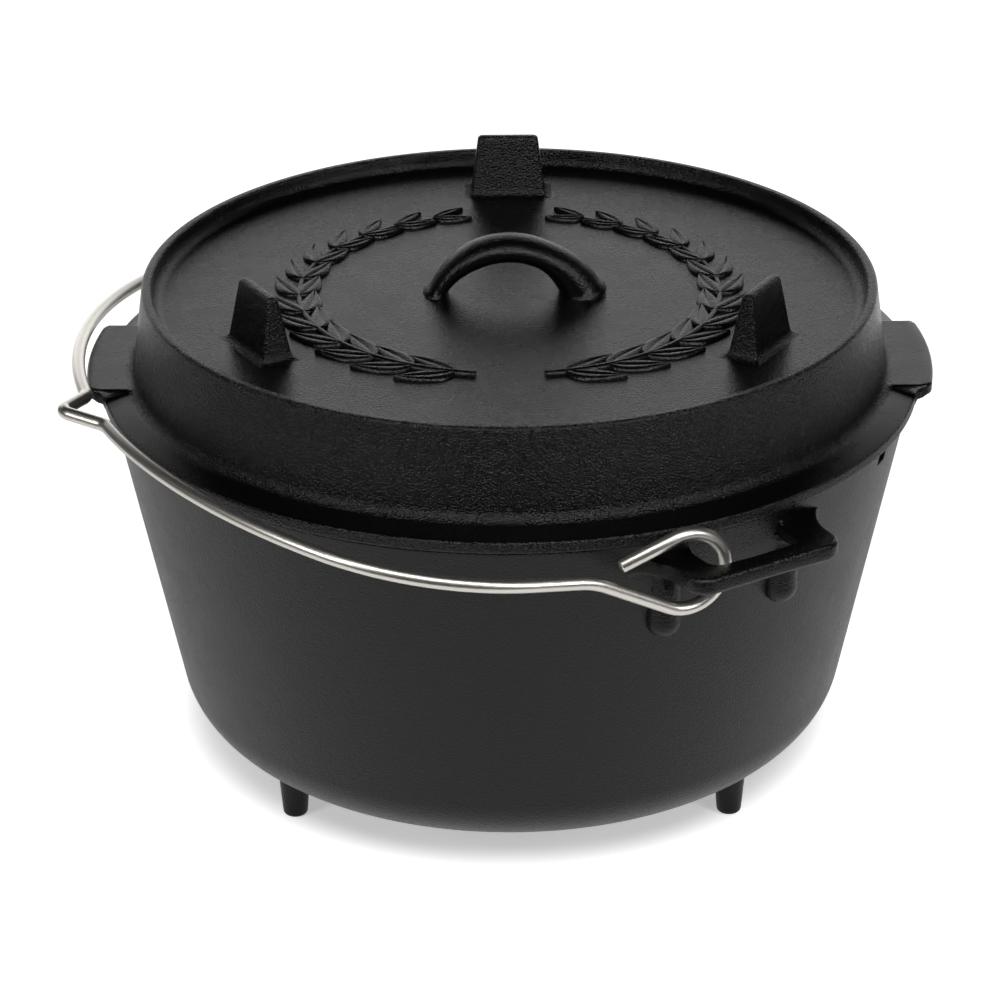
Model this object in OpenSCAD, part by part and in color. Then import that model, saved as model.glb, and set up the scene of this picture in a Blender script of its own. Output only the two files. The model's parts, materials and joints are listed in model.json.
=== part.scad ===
// Camp dutch oven: a footed cast-iron pot, a flanged lid that carries coals, and a wire bail.
// Millimetres. The origin lies on the pot's axis at the plane of its feet, +Z is up, the front is -Y.

/* [Pot] */
// Outer radius of the pot at its rim
rim_r = 153.3; // [120:0.1:190]
// Height of the pot from its underside to its rim
pot_h = 138.7; // [100:0.1:180]
// Draft of the pot's wall from the vertical, in degrees
pot_draft = 11.2; // [4:0.1:15]
// Outer radius of the pot's lower corner
pot_corner_r = 27.5; // [15:0.5:40]
// Thickness of the pot's wall
pot_wall = 4.5; // [3.5:0.1:7]
// Thickness of the pot's floor
pot_floor = 5; // [4:0.1:8]
// Width of the thermometer notch in the rim
notch_w = 7; // [5:0.5:10]
// Depth of the thermometer notch below the rim
notch_depth = 7; // [5:0.5:10]
// Azimuth of the notch from the front, positive to the right
notch_az = 64; // [55:1:75]

/* [Pot feet] */
// Height of the pot's underside above the ground
foot_h = 27.6; // [15:0.1:45]
// Radius of the circle on which the feet stand
foot_circle_r = 98.1; // [80:0.1:105]
// Diameter of a foot where it leaves the pot
foot_root_d = 14; // [11:0.5:18]
// Diameter of a foot near the ground
foot_tip_d = 9.4; // [8:0.2:11]
// Radius of the rounding round a foot's flat tip
foot_tip_round = 1.6; // [0.5:0.1:2.5]

/* [Ears] */
// Azimuth of the front ear from the front; the other ear is opposite
ear_az = 31.5; // [20:0.5:40]
// Reach of an ear past the pot's rim
ear_reach = 21.2; // [19:0.1:26]
// Width of the bar along an ear's outer edge
ear_bar_w = 8.5; // [6.5:0.5:10]
// Width of an ear at its bar
ear_w = 63; // [56:1:70]
// Thickness of an ear
ear_t = 6.5; // [5:0.1:8]
// Drop from the rim to the top of an ear
ear_drop = 6.7; // [5:0.1:10]
// Length of the slot in an ear
slot_len = 38; // [34:0.5:42]
// Radius of the ear's outer corners
ear_corner_r = 7; // [4:0.5:9]
// Radius of the concave blend between an ear and the wall
ear_blend_r = 26; // [10:1:26]
// Diameter of the half-round rib under each arm of an ear
rib_d = 13; // [9:0.5:14]
// Length of a rib below its ear
rib_len = 22.5; // [12:0.5:35]

/* [Lid] */
// Overhang of the lid's flange past the pot's rim
flange_over = 2.7; // [1:0.1:4]
// Thickness of the flange at its edge
flange_t = 4.4; // [3:0.1:6]
// Radius of the flange's rounded edges
flange_edge_r = 1.1; // [0.5:0.1:1.4]
// Rise of the flange's top from its edge to the skirt
flange_rise = 2.8; // [1:0.1:4]
// Height of the lid's rim above the flange's edge
lid_h = 36.2; // [28:0.1:50]
// Width of the flange from its edge to the foot of the skirt
flange_w = 12.1; // [9:0.1:16]
// Draft of the skirt from the vertical, in degrees
skirt_draft = 7.9; // [3:0.1:14]
// Thickness of the lid's skirt and plate
lid_t = 4.6; // [3.5:0.1:6]
// Width of the flat top of the rim
rim_lip_w = 3.6; // [2.5:0.1:5]
// Depth of the coal tray from the rim to the plate
tray_depth = 6.7; // [5:0.1:12]
// Radius of the fillet round the tray
tray_fillet = 4; // [1:0.5:5]
// Radius of the corner of the hollow under the plate
hollow_corner_r = 10; // [5:0.5:14]
// Depth of the locating lip below the flange
locating_h = 3; // [2:0.5:5]
// Clearance round the locating lip
locating_clear = 1; // [0.6:0.1:2]
// Gap between the lid's flange and the pot's rim
seat_gap = 0.2; // [0.1:0.05:0.5]

/* [Lid lugs] */
// Reach of a lug past the flange's edge
lug_reach = 5.5; // [3:0.1:7]
// Width of a lug between its parallel sides
lug_w = 63; // [50:1:65]
// Width of a lug where it leaves the flange's edge
lug_root_w = 71; // [66:1:80]
// Thickness of a lug
lug_t = 4.5; // [3.5:0.1:6]
// Radius of a lug's outer corners
lug_corner_r = 4.5; // [3:0.5:6]
// Height of a lug's top above the flange's edge
lug_rise = 3.2; // [1:0.1:5]

/* [Lid handle] */
// Span of the handle's arch between the ends of its centre line
handle_span = 55; // [46:1:70]
// Height of the handle's top above the plate
handle_h = 23; // [20:0.1:30]
// Thickness of the handle's bar
handle_t = 10.4; // [7:0.2:11]
// Width of the handle's bar
handle_w = 17; // [12:0.5:22]
// Radius of the handle's rounded edges
handle_round = 3.6; // [1.5:0.1:4]

/* [Lid feet] */
// Radius of the circle on which the lid's feet stand
lid_foot_circle_r = 106; // [85:0.5:112]
// Height of a lid foot above the plate
lid_foot_h = 24; // [22:0.5:32]
// Width of a lid foot at its root, along the circle
lid_foot_root_w = 30; // [24:0.5:36]
// Width of a lid foot at its top
lid_foot_top_w = 24; // [18:0.5:30]
// Depth of a lid foot at its root, towards the axis
lid_foot_root_d = 12; // [9:0.5:16]
// Depth of a lid foot at its top
lid_foot_top_d = 4; // [3:0.5:10]

/* [Bail] */
// Diameter of the bail's wire
wire_d = 5; // [4:0.1:5.5]
// Clearance between the lid's lugs and the wire that swings past them
bail_clear = 3.2; // [3:0.1:12]
// Distance of the main arc's centre behind the hinge line
bail_back = 26.5; // [0:0.5:30]
// Offset of the main arc's centre towards the front hook
bail_skew = 8; // [0:0.5:10]
// Gap between the resting wire and the arm of the ear that stops it
rest_gap = 0.3; // [0.2:0.05:0.6]
// Radius of the hook's eye at the wire's middle
eye_r = 14.5; // [12.5:0.1:16]
// Drop of the hinge line below the middle of the ears
hinge_drop = 0.5; // [0:0.1:2]
// Gap between the hook and the ear's bar
eye_gap = 1.2; // [0.8:0.1:2]
// Length of the hook's free end past its eye
hook_end = 22; // [14:0.1:28]
// Angle round the eye where the free end leaves it, in degrees
hook_end_a = 63; // [60:1:90]
// Sag of the front half below the bail's plane, where it meets the hook
front_sag = 2.5; // [0:0.5:5]
// Angle at which the wire drops to the eye, in degrees
drop_a = 20; // [15:1:30]
// Radius of the bend into that drop
drop_r = 30; // [15:1:40]
// Radius of the bend between the main arc and the straight by the hook
shoulder_r = 85; // [15:0.5:95]
// Height of the hanging kink outside the main arc
kink_h = 11.4; // [6:0.1:14]
// Angle from the main arc's middle to the kink, positive towards the front, in degrees
kink_turn = -2.3; // [-4:0.1:4]
// Half the width of the kink, to the middle of its outer bends
kink_w = 17; // [14:0.5:22]
// Radius of the bend at the kink's tip
kink_tip_r = 4.5; // [3:0.5:6]
// Radius of the bends at the kink's sides
kink_side_r = 7; // [5:0.5:10]

/* [Hidden] */
$fn = 64;
arc_steps = 10;
main_steps = 16;
eye_steps = 18;
bend_steps = 3;
shoulder_steps = 6;
wire_sides = 12;
bite = 1;
same_point = 0.001;
foot_azimuths = [-60, 60, 180];

rim_z = foot_h + pot_h;
wall_slant = pot_wall / cos(pot_draft);
base_sharp_r = rim_r - pot_h * tan(pot_draft);
mouth_r = rim_r - wall_slant;
floor_z = foot_h + pot_floor;
floor_sharp_r = mouth_r - (rim_z - floor_z) * tan(pot_draft);
notch_in = mouth_r - notch_depth * tan(pot_draft) - bite;

ear_top_z = rim_z - ear_drop;
ear_mid_z = ear_top_z - ear_t / 2;
ear_out = rim_r + ear_reach;
bar_in = ear_out - ear_bar_w;
arm_mid = (slot_len + ear_w) / 4;
ear_wall_r = rim_r - (ear_drop + ear_t) * tan(pot_draft) - pot_wall / 2;
rib_r = ear_wall_r - rib_len / 2 * tan(pot_draft);

flange_r = rim_r + flange_over;
flange_z = rim_z + seat_gap;
flange_top_z = flange_z + flange_t;
lid_top_z = flange_top_z + lid_h;
plate_z = lid_top_z - tray_depth;
skirt_foot_r = flange_r - flange_w;
skirt_foot_z = flange_top_z + flange_rise;
skirt_top_r = skirt_foot_r - (lid_top_z - skirt_foot_z) * tan(skirt_draft);
tray_mouth_r = skirt_top_r - rim_lip_w;
hollow_z = plate_z - lid_t;
hollow_sharp_r = skirt_foot_r - lid_t / cos(skirt_draft) - (hollow_z - skirt_foot_z) * tan(skirt_draft);
lip_z = flange_z - locating_h;
lip_top_r = mouth_r - locating_clear;
lip_low_r = lip_top_r - locating_h * tan(pot_draft);

wire_r = wire_d / 2;
bail_r = flange_r + lug_reach + bail_clear + wire_r + bail_back;
hook_reach = bar_in - wire_r - eye_gap;
hook_run = norm([eye_r, hook_end]);
hook_in = hook_reach - hook_run * arm_mid / hook_reach;
hinge_az = ear_az - atan(arm_mid / hook_in);
eye_s = norm([hook_in, arm_mid]);
hinge_z = ear_mid_z - hinge_drop;
stop_run = (arm_mid + slot_len / 2) / cos(ear_az - hinge_az);
stop_rise = ear_t / 2 + hinge_drop;
bail_tilt = atan(stop_rise / stop_run) + asin((wire_r + rest_gap) / norm([stop_run, stop_rise]));

handle_rise = handle_h - handle_t / 2;
handle_r = (pow(handle_span / 2, 2) + pow(handle_rise, 2)) / (2 * handle_rise);
handle_sink_a = 12;

iron = [0.11, 0.11, 0.11];
steel = [0.78, 0.77, 0.75];

// Points of an arc round c from angle a0 to a1
function arc(c, r, a0, a1, steps = arc_steps) =
    [for (i = [0:steps]) let (a = a0 + (a1 - a0) * i / steps) c + r * [cos(a), sin(a)]];

// Half outline of a pan that opens upwards: flat floor at z0, rounded corner, drafted wall up to z1
function pan(sharp_r, z0, corner, draft, z1) =
    let (middle = [sharp_r - corner * (1 - sin(draft)) / cos(draft), z0 + corner])
    concat([[0, z0]], arc(middle, corner, -90, -draft), [[sharp_r + (z1 - z0) * tan(draft), z1], [0, z1]]);

// Places a child at an azimuth from the front, at a radius, with its x axis pointing outwards
module at_azimuth(az, r) rotate([0, 0, az - 90]) translate([r, 0, 0]) children();

// One foot of the pot, round and tapered, with a small flat tip
module pot_foot() {
    tip_r = foot_tip_d / 2;
    rotate_extrude()
        polygon(concat(
            [[0, 0]],
            arc([tip_r - foot_tip_round, foot_tip_round], foot_tip_round, -90, 0),
            [[foot_root_d / 2, foot_h + bite], [0, foot_h + bite]]));
}

// Outline of an ear seen from above, x outwards from the pot's axis, with its slot
module ear_outline() {
    half = ear_w / 2;
    blend_y = half + ear_blend_r;
    blend_x = sqrt(pow(ear_wall_r + ear_blend_r, 2) - pow(blend_y, 2));
    root_y = blend_y * ear_wall_r / (ear_wall_r + ear_blend_r);
    difference() {
        union() {
            translate([0, -half]) square([ear_out - ear_corner_r, ear_w]);
            translate([0, -half + ear_corner_r]) square([ear_out, ear_w - 2 * ear_corner_r]);
            for (side = [-1, 1]) {
                translate([ear_out - ear_corner_r, side * (half - ear_corner_r)]) circle(ear_corner_r);
                difference() {
                    translate([0, side > 0 ? half - bite : -root_y])
                        square([blend_x, root_y - half + bite]);
                    translate([blend_x, side * blend_y]) circle(ear_blend_r);
                }
            }
        }
        circle(ear_wall_r);
        translate([0, -slot_len / 2]) square([bar_in, slot_len]);
    }
}

// An ear with the half-round rib under each of its arms
module ear() {
    translate([0, 0, ear_top_z - ear_t]) linear_extrude(ear_t) ear_outline();
    for (side = [-1, 1]) {
        rib_x = sqrt(pow(rib_r, 2) - pow(arm_mid, 2));
        translate([rib_x, side * arm_mid, ear_top_z - ear_t - rib_len]) {
            cylinder(d = rib_d, h = rib_len + ear_t / 2);
            sphere(d = rib_d);
        }
    }
}

// The pot: one casting of body, feet, ears and ribs
module pot() {
    color(iron) difference() {
        union() {
            rotate_extrude() polygon(pan(base_sharp_r, foot_h, pot_corner_r, pot_draft, rim_z));
            for (az = foot_azimuths) at_azimuth(az, foot_circle_r) pot_foot();
            for (turn = [0, 180]) at_azimuth(ear_az + turn, 0) ear();
        }
        rotate_extrude()
            polygon(pan(floor_sharp_r, floor_z, pot_corner_r - pot_wall, pot_draft, rim_z + bite));
        at_azimuth(notch_az, notch_in)
            translate([0, -notch_w / 2, rim_z - notch_depth])
                cube([rim_r + bite - notch_in, notch_w, notch_depth + bite]);
    }
}

// Half outline of the lid's outside, from the locating lip round the flange and skirt to the plate
function lid_outline() =
    let (edge = flange_edge_r)
    let (slope = atan(flange_rise / flange_w))
    let (tray_r = tray_mouth_r - tray_depth * tan(skirt_draft))
    concat(
        [[0, lip_z], [lip_low_r, lip_z], [lip_top_r, flange_z]],
        arc([flange_r - edge, flange_z + edge], edge, -90, 0),
        arc([flange_r - edge, flange_top_z - edge], edge, 0, 90 - slope),
        [[skirt_foot_r, skirt_foot_z], [skirt_top_r, lid_top_z], [tray_mouth_r, lid_top_z]],
        arc([tray_r - tray_fillet, plate_z + tray_fillet], tray_fillet, 0, -90),
        [[0, plate_z]]);

// Half outline of the hollow under the plate, open at the bottom
function hollow_outline() =
    let (mouth = hollow_sharp_r + (hollow_z - lip_z + bite) * tan(skirt_draft))
    let (middle = [hollow_sharp_r - hollow_corner_r * (1 - sin(skirt_draft)) / cos(skirt_draft),
                   hollow_z - hollow_corner_r])
    concat(
        [[0, lip_z - bite], [mouth, lip_z - bite]],
        arc(middle, hollow_corner_r, skirt_draft, 90),
        [[0, hollow_z]]);

// Point at a radius and at a distance y from the x axis
function beside_x(r, y) = [sqrt(r * r - y * y), y];

// A lug on the flange for lifting the lid, seen from above along +x: a tab with parallel sides,
// round outer corners and a flare along the flange's edge
module lug_outline() {
    half = lug_w / 2;
    root = flange_r - bite;
    corner = beside_x(flange_r + lug_reach - lug_corner_r, half - lug_corner_r);
    side = concat(
        arc(corner, lug_corner_r, atan2(corner[1], corner[0]), 90),
        [beside_x(root, lug_root_w / 2), beside_x(root, half), beside_x(skirt_foot_r, half) - [bite, 0]]);
    polygon(concat(
        arc([0, 0], flange_r + lug_reach, -atan2(corner[1], corner[0]), atan2(corner[1], corner[0])),
        side,
        [for (i = [len(side) - 1:-1:0]) [side[i][0], -side[i][1]]]));
}

// The arched handle across the middle of the plate, along x, which stands on the plate
module lid_handle() {
    half_a = asin(handle_span / 2 / handle_r) + handle_sink_a;
    end_z = handle_rise - handle_r;
    color(iron) translate([0, 0, plate_z]) difference() {
        translate([0, 0, end_z]) rotate([90, 0, 0]) rotate([0, 0, 90 - half_a])
            rotate_extrude(angle = 2 * half_a) translate([handle_r, 0]) handle_section();
        translate([-handle_span, -handle_w, -handle_span])
            cube([2 * handle_span, 2 * handle_w, handle_span]);
    }
}

// Section of the handle's bar: a rectangle with rounded edges
module handle_section() {
    a = handle_t / 2 - handle_round;
    b = handle_w / 2 - handle_round;
    polygon(concat(
        arc([a, b], handle_round, 0, 90), arc([-a, b], handle_round, 90, 180),
        arc([-a, -b], handle_round, 180, 270), arc([a, -b], handle_round, 270, 360)));
}

// One foot on the lid, tapered both ways, x outwards
module lid_foot() {
    intersection() {
        rotate([90, 0, 90]) translate([0, 0, -lid_foot_root_d])
            linear_extrude(2 * lid_foot_root_d) foot_taper(lid_foot_root_w, lid_foot_top_w);
        rotate([90, 0, 0]) translate([0, 0, -lid_foot_root_w])
            linear_extrude(2 * lid_foot_root_w) foot_taper(lid_foot_root_d, lid_foot_top_d);
    }
}

// Trapezium of a lid foot, sunk a little into the plate
module foot_taper(root, top) {
    polygon([[-root / 2, -bite], [root / 2, -bite], [top / 2, lid_foot_h], [-top / 2, lid_foot_h]]);
}

// The lid: plate, skirt, flange, lugs and feet; its handle is a solid of its own, cast in one with it
module lid() {
    color(iron) difference() {
        union() {
            rotate_extrude() polygon(lid_outline());
            for (turn = [90, -90]) at_azimuth(turn, 0)
                translate([0, 0, flange_top_z + lug_rise - lug_t]) linear_extrude(lug_t) lug_outline();
            for (az = foot_azimuths) at_azimuth(az, lid_foot_circle_r) translate([0, 0, plate_z]) lid_foot();
        }
        rotate_extrude() polygon(hollow_outline());
    }
}

// Path of one hook from the straight beside it, which lies a sag below the eye's middle, to its free end;
// x towards the bail's middle, y up
function hook_path(sag) =
    let (low = eye_r * [sin(drop_a), -cos(drop_a)])
    let (run = (eye_r * cos(drop_a) - sag - drop_r * (1 - cos(drop_a))) / tan(drop_a))
    let (bend_c = [low[0] + run + drop_r * sin(drop_a), -drop_r - sag])
    let (free = eye_r * [cos(hook_end_a), sin(hook_end_a)])
    concat(
        arc(bend_c, drop_r, 90, 90 + drop_a, bend_steps),
        arc([0, 0], eye_r, 270 + drop_a, hook_end_a, eye_steps),
        [free + hook_end * [sin(hook_end_a), -cos(hook_end_a)]]);

// Direction at an angle in the bail's plane
function towards(a) = [cos(a), sin(a)];

// Path of half the bail in its own plane, from the kink's tip to the straight beside a hook;
// x runs to that hook, which is the back one for side 1 and the front one for side -1
function half_path(side) =
    let (centre = [-side * bail_skew, -bail_back])
    let (tip_a = 90 + side * kink_turn)
    let (tip_c = centre + (bail_r + kink_h - kink_tip_r) * towards(tip_a))
    let (side_a = tip_a - asin(kink_w / (bail_r + kink_side_r)))
    let (side_c = centre + (bail_r + kink_side_r) * towards(side_a))
    let (between = side_c - tip_c)
    let (lean = atan2(between[1], between[0]) + acos((kink_tip_r + kink_side_r) / norm(between)))
    let (shoulder_a = acos((eye_s - shoulder_r + side * bail_skew) / (bail_r - shoulder_r)))
    let (shoulder_c = centre + (bail_r - shoulder_r) * towards(shoulder_a))
    concat(
        arc(tip_c, kink_tip_r, tip_a, lean, bend_steps),
        arc(side_c, kink_side_r, 180 + lean, 180 + side_a, bend_steps),
        arc(centre, bail_r, side_a, shoulder_a, main_steps),
        arc(shoulder_c, shoulder_r, shoulder_a, 0, shoulder_steps));

// Path of the whole wire: x along the hinge line to the back, y towards the kink, z up.
// Both hooks are bent the same way round, so the front one drops and the back one rises.
function wire_path() =
    let (front = wire_half(-1, front_sag))
    let (back = wire_half(1, 0))
    concat([for (i = [len(front) - 1:-1:1]) [-front[i][0], front[i][1], front[i][2]]],
           [for (p = back) [p[0], p[1], -p[2]]]);

// One half of the wire with its hook, sagging ever more towards the hook
function wire_half(side, sag) =
    let (plane = [for (p = half_path(side)) [p[0], p[1], -sag * pow(p[0] / eye_s, 2)]])
    let (bent = [for (p = hook_path(sag)) [eye_s, p[0], p[1]]])
    thin(concat(plane, bent));

// The points of a path without those that repeat the one before
function thin(path) =
    [for (i = [0:len(path) - 1]) if (i == 0 || norm(path[i] - path[i - 1]) > same_point) path[i]];

// Ring of points round one place on the wire, square to the wire there
function ring(path, i) =
    let (ahead = path[min(i + 1, len(path) - 1)] - path[max(i - 1, 0)])
    let (t = ahead / norm(ahead))
    let (in_hook = abs(abs(path[i][0]) - eye_s) < same_point)
    let (b = in_hook ? [-sign(path[i][0]), 0, 0] : cross(t, [0, 0, 1]))
    let (n = cross(b, t))
    [for (k = [0:wire_sides - 1])
        let (a = 360 * k / wire_sides)
        path[i] + wire_r * (cos(a) * n + sin(a) * b)];

// A closed tube round a path
module tube(path) {
    last = (len(path) - 1) * wire_sides;
    walls = [for (i = [0:len(path) - 2], k = [0:wire_sides - 1], half = [0, 1])
        let (a = i * wire_sides + k)
        let (b = i * wire_sides + (k + 1) % wire_sides)
        half == 0 ? [a, b, b + wire_sides] : [a, b + wire_sides, a + wire_sides]];
    ends = [for (k = [1:wire_sides - 2], far = [0, 1])
        far == 0 ? [0, k + 1, k] : [last, last + k, last + k + 1]];
    polyhedron([for (i = [0:len(path) - 1]) each ring(path, i)], concat(walls, ends));
}

// The bail: one bent wire that hangs in both ears and rests to the left
module bail() {
    color(steel) translate([0, 0, hinge_z]) rotate([0, 0, hinge_az + 90]) rotate([bail_tilt, 0, 0])
        tube(wire_path());
}

pot();
lid();
lid_handle();
bail();
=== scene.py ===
# %% [markdown]
# # A camp dutch oven in cast iron
# The oven is three things: a footed pot, a lid with a raised rim that holds coals, and a bright wire
# bail. The CAD model fixes their sizes and how they move. This lesson dresses it: every visible surface
# is worked out with numpy in millimetres, put into a mesh in metres, and given a finish built from
# shader nodes.

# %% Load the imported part
import json
import bpy
import numpy as np
from mathutils import Matrix, Vector


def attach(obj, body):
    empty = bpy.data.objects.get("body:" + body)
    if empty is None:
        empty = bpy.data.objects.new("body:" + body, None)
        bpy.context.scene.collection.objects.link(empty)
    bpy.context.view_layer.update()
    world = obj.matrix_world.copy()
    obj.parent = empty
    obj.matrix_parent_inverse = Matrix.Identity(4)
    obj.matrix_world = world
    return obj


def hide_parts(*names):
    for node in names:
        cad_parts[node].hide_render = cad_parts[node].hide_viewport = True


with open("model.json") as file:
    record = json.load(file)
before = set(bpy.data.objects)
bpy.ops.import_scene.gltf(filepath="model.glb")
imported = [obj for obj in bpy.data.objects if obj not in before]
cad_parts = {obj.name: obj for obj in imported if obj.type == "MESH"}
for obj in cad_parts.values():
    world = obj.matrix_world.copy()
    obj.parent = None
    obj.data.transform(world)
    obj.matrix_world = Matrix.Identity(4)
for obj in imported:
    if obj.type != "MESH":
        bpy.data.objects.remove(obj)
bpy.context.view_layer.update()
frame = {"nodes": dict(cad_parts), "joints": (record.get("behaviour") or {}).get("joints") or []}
MM = 0.001

# %% [markdown]
# ## Camera
# The photograph looks down on the oven from the front with a long lens. Its place was found by matching
# the ellipses of the rim, the flange and the base, so the camera is written as a place, a pitch and a
# small roll.

# %% Set up the camera
CAMERA_PLACE = (-0.00405, -1.2676, 0.7274)
CAMERA_PITCH = 0.452
CAMERA_ROLL = -0.006
LENS_MM = 129.6
SENSOR_MM = 36.0


def camera_axes(pitch, roll):
    """Camera axes as columns: right and up tilted down by the pitch, then turned about the view."""
    right = np.array([1.0, 0.0, 0.0])
    up = np.array([0.0, np.sin(pitch), np.cos(pitch)])
    back = np.cross(right, up)
    rolled_right = right * np.cos(roll) + up * np.sin(roll)
    rolled_up = up * np.cos(roll) - right * np.sin(roll)
    return np.stack([rolled_right, rolled_up, back], 1)


lens = bpy.data.cameras.new("photo_lens")
lens.sensor_width = SENSOR_MM
lens.lens = LENS_MM
camera = bpy.data.objects.new("photo_camera", lens)
bpy.context.collection.objects.link(camera)
turned = Matrix(camera_axes(CAMERA_PITCH, CAMERA_ROLL).tolist()).to_4x4()
camera.matrix_world = Matrix.Translation(CAMERA_PLACE) @ turned
bpy.context.scene.camera = camera
print("camera at", CAMERA_PLACE, "lens", LENS_MM)

# %% [markdown]
# ## Sizes read from the frame
# The pot's rim, the lid's lowest and highest points, the handle's top and foot and the hinge line come
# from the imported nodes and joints, so the dressed pieces sit where the solids are. Other sizes of the
# solids are written as named values, in millimetres, beside the piece that they belong to.

# %% Measure the solids


def node_points(node):
    """Corner points of a CAD node in millimetres, as rows of x, y, z."""
    mesh = frame["nodes"][node].data
    flat = np.empty(3 * len(mesh.vertices), np.float32)
    mesh.vertices.foreach_get("co", flat)
    return flat.reshape(-1, 3).astype(float) / MM


def radius(points):
    """Distance of each point from the upright axis."""
    return np.hypot(points[:, 0], points[:, 1])


pot_points = node_points("pot")
lid_points = node_points("lid")
NEAR = 0.05
RIM_Z = pot_points[:, 2].max()
RIM_R = radius(pot_points[pot_points[:, 2] > RIM_Z - NEAR]).max()
LIP_Z = lid_points[:, 2].min()
LID_FOOT_TOP = lid_points[:, 2].max()
PLATE_Z = node_points("lid_handle")[:, 2].min()
HANDLE_TOP = node_points("lid_handle")[:, 2].max()
print("rim", round(RIM_R, 2), round(RIM_Z, 2), "plate", round(PLATE_Z, 2))
print("lid foot top", round(LID_FOOT_TOP, 2))

# %% [markdown]
# ## Surfaces from rings
# Nearly every piece here is a stack of closed rings: a turned pot is rings round its axis, a wire is
# rings along its path, a foot is rings from its root to its tip. One function joins such a stack into a
# closed skin. The other helpers make the profile that is turned and the ring that is carried.

# %% Profiles and rings
ARC_STEP = 1.2
ARC_LEAST = 6
CORNER_POINTS = 5


def unit(vector):
    """A vector divided by its own length."""
    return vector / np.linalg.norm(vector)


def straight_run(start, end, step):
    """Points between two ends, without the ends, crowded towards them as (1 - cos) does."""
    count = max(2, int(np.ceil(np.linalg.norm(end - start) / step)))
    share = 0.5 - 0.5 * np.cos(np.pi * np.arange(1, count) / count)
    return start + share[:, None] * (end - start)


def rounded_profile(corners, radii, step):
    """Points along straight runs that are joined by arcs.

    The arc of radius R at a corner touches both runs: it starts R / tan(half the corner's angle) before the
    corner and turns about a middle that lies R / sin(half the angle) along the corner's bisector.
    """
    corners = np.asarray(corners, float)
    stretches = [corners[:1]]
    for before, corner, after, bend in zip(corners, corners[1:], corners[2:], radii):
        back = unit(before - corner)
        ahead = unit(after - corner)
        half = 0.5 * np.arccos(np.clip(back @ ahead, -1, 1))
        start = corner + back * bend / np.tan(half)
        middle = corner + unit(back + ahead) * bend / np.sin(half)
        sweep = np.pi - 2 * half
        turn = np.linspace(0, sweep, ARC_LEAST + int(bend * sweep / ARC_STEP))[:, None]
        arc = middle + np.cos(turn) * (start - middle) - np.sin(turn) * bend * back
        stretches += [straight_run(stretches[-1][-1], start, step), arc]
    stretches += [straight_run(stretches[-1][-1], corners[-1], step), corners[-1:]]
    return np.vstack(stretches)


def revolve(profile, angles):
    """Rings of a turned shape: the profile's point (r, z) goes round to (r cos a, r sin a, z)."""
    r = profile[:, :1]
    z = profile[:, 1:]
    return np.stack([r * np.cos(angles), r * np.sin(angles), z + 0 * angles], -1)


def rounded_rectangle(half_u, half_v, corner, points=CORNER_POINTS):
    """Ring of (u, v) round a rectangle: a quarter circle in each corner, joined by straight sides."""
    quarter = np.linspace(0, np.pi / 2, points)
    angle = np.concatenate([quarter + k * np.pi / 2 for k in range(4)])
    side_u = np.repeat([1, -1, -1, 1], points)
    side_v = np.repeat([1, 1, -1, -1], points)
    return np.stack([side_u * (half_u - corner) + corner * np.cos(angle),
                     side_v * (half_v - corner) + corner * np.sin(angle)], -1)


def smooth_step(value, low, high):
    """0 below low, 1 above high, and 3 t^2 - 2 t^3 between them."""
    t = np.clip((value - low) / (high - low), 0, 1)
    return t * t * (3 - 2 * t)


def fillet(height, size):
    """How far a fillet of radius R stands out at a height h over its foot: R - sqrt(R^2 - (R - h)^2)."""
    rest = np.clip(size - height, 0, size)
    return size - np.sqrt(size * size - rest * rest)


def angle_apart(angles, angle):
    """Least turn in degrees between angles, whichever way round is shorter."""
    return np.abs((angles - angle + 180) % 360 - 180)


def turned_about(points, degrees):
    """Points turned about the upright axis by the usual (x cos a - y sin a, x sin a + y cos a)."""
    a = np.radians(degrees)
    turn = np.array([[np.cos(a), -np.sin(a), 0], [np.sin(a), np.cos(a), 0], [0, 0, 1]])
    return points @ turn.T


def skin(rings):
    """Points and faces of a closed skin: quads between rings, and a fan over the first and the last ring.

    If the skin's signed volume comes out negative, all faces are turned over so that they point outwards.
    """
    rows, columns = rings.shape[:2]
    points = np.vstack([rings.reshape(-1, 3), rings[0].mean(0), rings[-1].mean(0)])
    index = np.arange(rows * columns).reshape(rows, columns)
    beside = np.roll(index, -1, axis=1)
    quads = np.stack([index[:-1], beside[:-1], beside[1:], index[1:]], -1).reshape(-1, 4)
    first = np.full(columns, rows * columns)
    fans = np.vstack([np.stack([beside[0], index[0], first], -1),
                      np.stack([index[-1], beside[-1], first + 1], -1)])
    triangles = np.vstack([quads[:, :3], quads[:, [0, 2, 3]], fans])
    a, b, c = points[triangles].transpose(1, 0, 2)
    if np.einsum("ij,ij->", a, np.cross(b, c)) < 0:
        quads = quads[:, ::-1]
        fans = fans[:, ::-1]
    return points, quads, fans


# %% [markdown]
# A piece may join several skins, such as a pot with its feet and ears. Each skin brings its own amount
# of grain: sand leaves some faces of a casting coarser than others, so that amount is kept on the
# points for the finish.

# %% Put skins into a mesh
SHARP_ANGLE = np.radians(50)


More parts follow.
